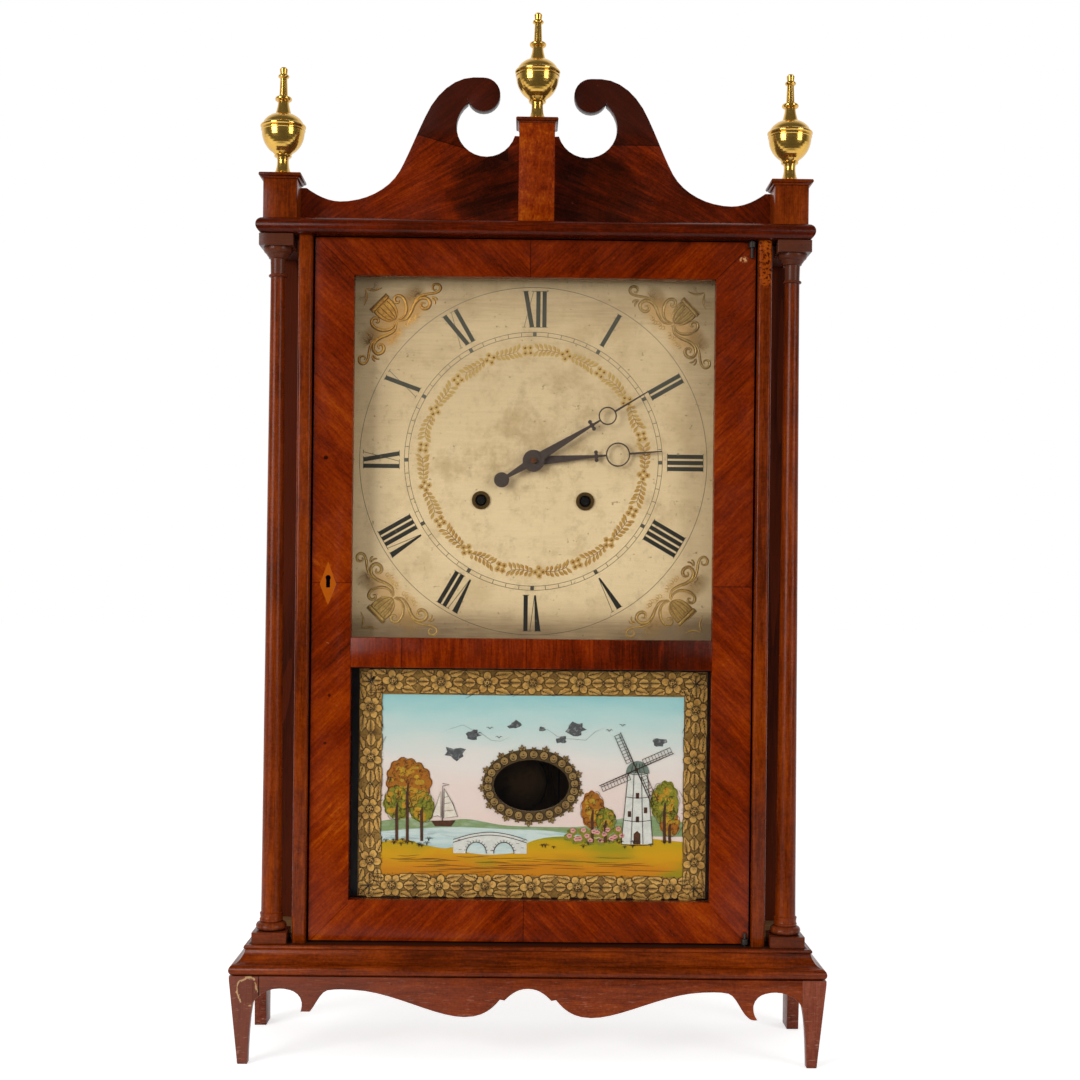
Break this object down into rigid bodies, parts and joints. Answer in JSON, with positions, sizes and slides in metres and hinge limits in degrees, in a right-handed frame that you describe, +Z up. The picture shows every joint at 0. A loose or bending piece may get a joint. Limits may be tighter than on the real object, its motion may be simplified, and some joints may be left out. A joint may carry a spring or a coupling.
{
  "type": "pillar-and-scroll shelf clock",
  "caption": "Tall wooden shelf clock with a scrolled top, turned columns, shaped feet, a glazed hinged door, painted dial and a weight-driven movement that turns and strikes.",
  "frame": {"origin": "middle of the footprint at floor level", "axes": "+Z up, front of the clock towards -Y, +X to the viewer's right"},
  "size_m": [0.444, 0.13, 0.793],
  "materials": {
    "mahogany": "polished mahogany veneer and turned mahogany",
    "light_veneer": "orange figured veneer",
    "pine": "aged pine",
    "movement_wood": "oak and cherry, oiled",
    "dial_paint": "old cream paint on a wooden board",
    "inlay": "inlaid keyhole diamond",
    "brass": "worn polished brass",
    "iron": "dark iron",
    "hand_steel": "oxidised cut hands",
    "glass": "clear old window glass",
    "tablet_paint": "glass painted on its back",
    "putty": "hard putty",
    "cord": "waxed linen cord"
  },
  "bodies": {
    "case": {"base_board": "pine", "base_moulding": "mahogany", "front_apron": "mahogany", "front_feet": "mahogany", "side_aprons": "mahogany", "case_side_left": "mahogany", "case_side_right": "mahogany", "backboard": "pine", "top_board": "pine", "cornice": "mahogany", "scroll_board": "mahogany", "side_plinths": "mahogany", "center_plinth": "light_veneer", "plinth_caps": "mahogany", "side_finials": "brass", "center_finial": "brass", "column_left": "mahogany", "column_right": "mahogany", "column_blocks": "mahogany", "hinge_pintles": "iron", "dial_board": "dial_paint", "case_battens": "pine", "winding_grommets": "brass", "front_plate": "movement_wood", "back_plate": "movement_wood", "bell": "brass", "drum_cords": "cord"},
    "door": {"door_stile_left": "mahogany", "door_stile_right": "mahogany", "door_top_rail": "mahogany", "door_mid_rail": "mahogany", "door_bottom_rail": "mahogany", "dial_glass": "glass", "tablet_glass": "tablet_paint", "glazing_putty": "putty", "keyhole_plate": "inlay", "door_lock": "iron", "hinge_eyes": "iron"},
    "bolt": {"lock_bolt": "iron"},
    "minute": {"minute_hand": "hand_steel", "center_arbor": "movement_wood"},
    "hour": {"hour_hand": "hand_steel", "hour_wheel": "movement_wood"},
    "motion": {"motion_wheel": "movement_wood"},
    "time_great": {"time_great_wheel": "movement_wood"},
    "third": {"third_wheel": "movement_wood"},
    "escape": {"escape_wheel": "brass"},
    "verge": {"verge": "iron"},
    "pendulum": {"pendulum": "brass"},
    "time_drum": {"time_drum": "movement_wood"},
    "strike_drum": {"strike_drum": "movement_wood"},
    "strike_great": {"strike_great_wheel": "movement_wood"},
    "pin_wheel": {"pin_wheel": "movement_wood"},
    "hammer": {"hammer": "iron"},
    "time_pulley": {"time_pulley": "movement_wood"},
    "strike_pulley": {"strike_pulley": "movement_wood"},
    "time_weight": {"time_weight": "iron", "time_cord": "cord"},
    "strike_weight": {"strike_weight": "iron", "strike_cord": "cord"}
  },
  "joints": [
    {"name": "door_swing", "type": "hinge", "parent": "case", "child": "door", "pos_m": [0.163, -0.0435, 0.352], "axis": [0, 0, 1], "range_deg": [0, 150]},
    {"name": "lock_bolt_slide", "type": "slide", "parent": "door", "child": "bolt", "axis": [-1, 0, 0], "range_m": [0, 0.005]},
    {"name": "third_wheel_turn", "type": "hinge", "parent": "case", "child": "third", "pos_m": [0.02407, 0.026, 0.48395], "axis": [0, 1, 0], "continuous": true},
    {"name": "minute_turn", "type": "hinge", "parent": "case", "child": "minute", "pos_m": [0, 0.026, 0.452], "axis": [0, 1, 0], "continuous": true},
    {"name": "hour_turn", "type": "hinge", "parent": "case", "child": "hour", "pos_m": [0, 0.026, 0.452], "axis": [0, 1, 0], "continuous": true},
    {"name": "motion_wheel_turn", "type": "hinge", "parent": "case", "child": "motion", "pos_m": [0.01414, 0.026, 0.43786], "axis": [0, 1, 0], "continuous": true},
    {"name": "time_great_wheel_turn", "type": "hinge", "parent": "case", "child": "time_great", "pos_m": [0.04, 0.026, 0.4216], "axis": [0, 1, 0], "continuous": true},
    {"name": "escape_wheel_turn", "type": "hinge", "parent": "case", "child": "escape", "pos_m": [-0.01151, 0.026, 0.48939], "axis": [0, 1, 0], "continuous": true},
    {"name": "pendulum_swing", "type": "hinge", "parent": "case", "child": "pendulum", "pos_m": [-0.01151, 0.026, 0.51599], "axis": [0, 1, 0], "range_deg": [-4, 4]},
    {"name": "verge_swing", "type": "hinge", "parent": "case", "child": "verge", "pos_m": [-0.01151, 0.026, 0.51599], "axis": [0, 1, 0], "range_deg": [-4, 4]},
    {"name": "time_weight_lift", "type": "slide", "parent": "case", "child": "time_weight", "axis": [0, 0, 1], "range_m": [0, 0.33], "deforming": ["time_cord"]},
    {"name": "time_drum_turn", "type": "hinge", "parent": "case", "child": "time_drum", "pos_m": [0.04, 0.026, 0.4216], "axis": [0, 1, 0], "range_deg": [-1, 1600]},
    {"name": "time_pulley_turn", "type": "hinge", "parent": "case", "child": "time_pulley", "pos_m": [0.1142, 0.026, 0.624], "axis": [0, 1, 0], "range_deg": [-1210, 1]},
    {"name": "strike_weight_lift", "type": "slide", "parent": "case", "child": "strike_weight", "axis": [0, 0, 1], "range_m": [0, 0.33], "deforming": ["strike_cord"]},
    {"name": "strike_drum_turn", "type": "hinge", "parent": "case", "child": "strike_drum", "pos_m": [-0.04, 0.026, 0.4216], "axis": [0, 1, 0], "range_deg": [-1600, 1]},
    {"name": "strike_pulley_turn", "type": "hinge", "parent": "case", "child": "strike_pulley", "pos_m": [-0.1142, 0.026, 0.624], "axis": [0, 1, 0], "range_deg": [-1, 1210]},
    {"name": "strike_wheel_turn", "type": "hinge", "parent": "case", "child": "strike_great", "pos_m": [-0.04, 0.026, 0.4216], "axis": [0, 1, 0], "continuous": true},
    {"name": "pin_wheel_turn", "type": "hinge", "parent": "case", "child": "pin_wheel", "pos_m": [-0.053, 0.026, 0.47013], "axis": [0, 1, 0], "continuous": true},
    {"name": "hammer_lift", "type": "hinge", "parent": "case", "child": "hammer", "pos_m": [-0.0656, 0.026, 0.37774], "axis": [0, 1, 0], "range_deg": [0, 7]}
  ],
  "couplings": [
    {"joint": "minute_turn", "follows": "third_wheel_turn", "ratio": -0.11111},
    {"joint": "hour_turn", "follows": "third_wheel_turn", "ratio": -0.0092593},
    {"joint": "motion_wheel_turn", "follows": "third_wheel_turn", "ratio": 0.037037},
    {"joint": "time_great_wheel_turn", "follows": "third_wheel_turn", "ratio": 0.018519},
    {"joint": "escape_wheel_turn", "follows": "third_wheel_turn", "ratio": -8.5},
    {"joint": "verge_swing", "follows": "pendulum_swing", "ratio": 1},
    {"joint": "time_drum_turn", "follows": "time_weight_lift", "rad_per_m": 84.034},
    {"joint": "time_pulley_turn", "follows": "time_weight_lift", "rad_per_m": -63.291},
    {"joint": "strike_drum_turn", "follows": "strike_weight_lift", "rad_per_m": -84.034},
    {"joint": "strike_pulley_turn", "follows": "strike_weight_lift", "rad_per_m": 63.291},
    {"joint": "pin_wheel_turn", "follows": "strike_wheel_turn", "ratio": -6}
  ]
}
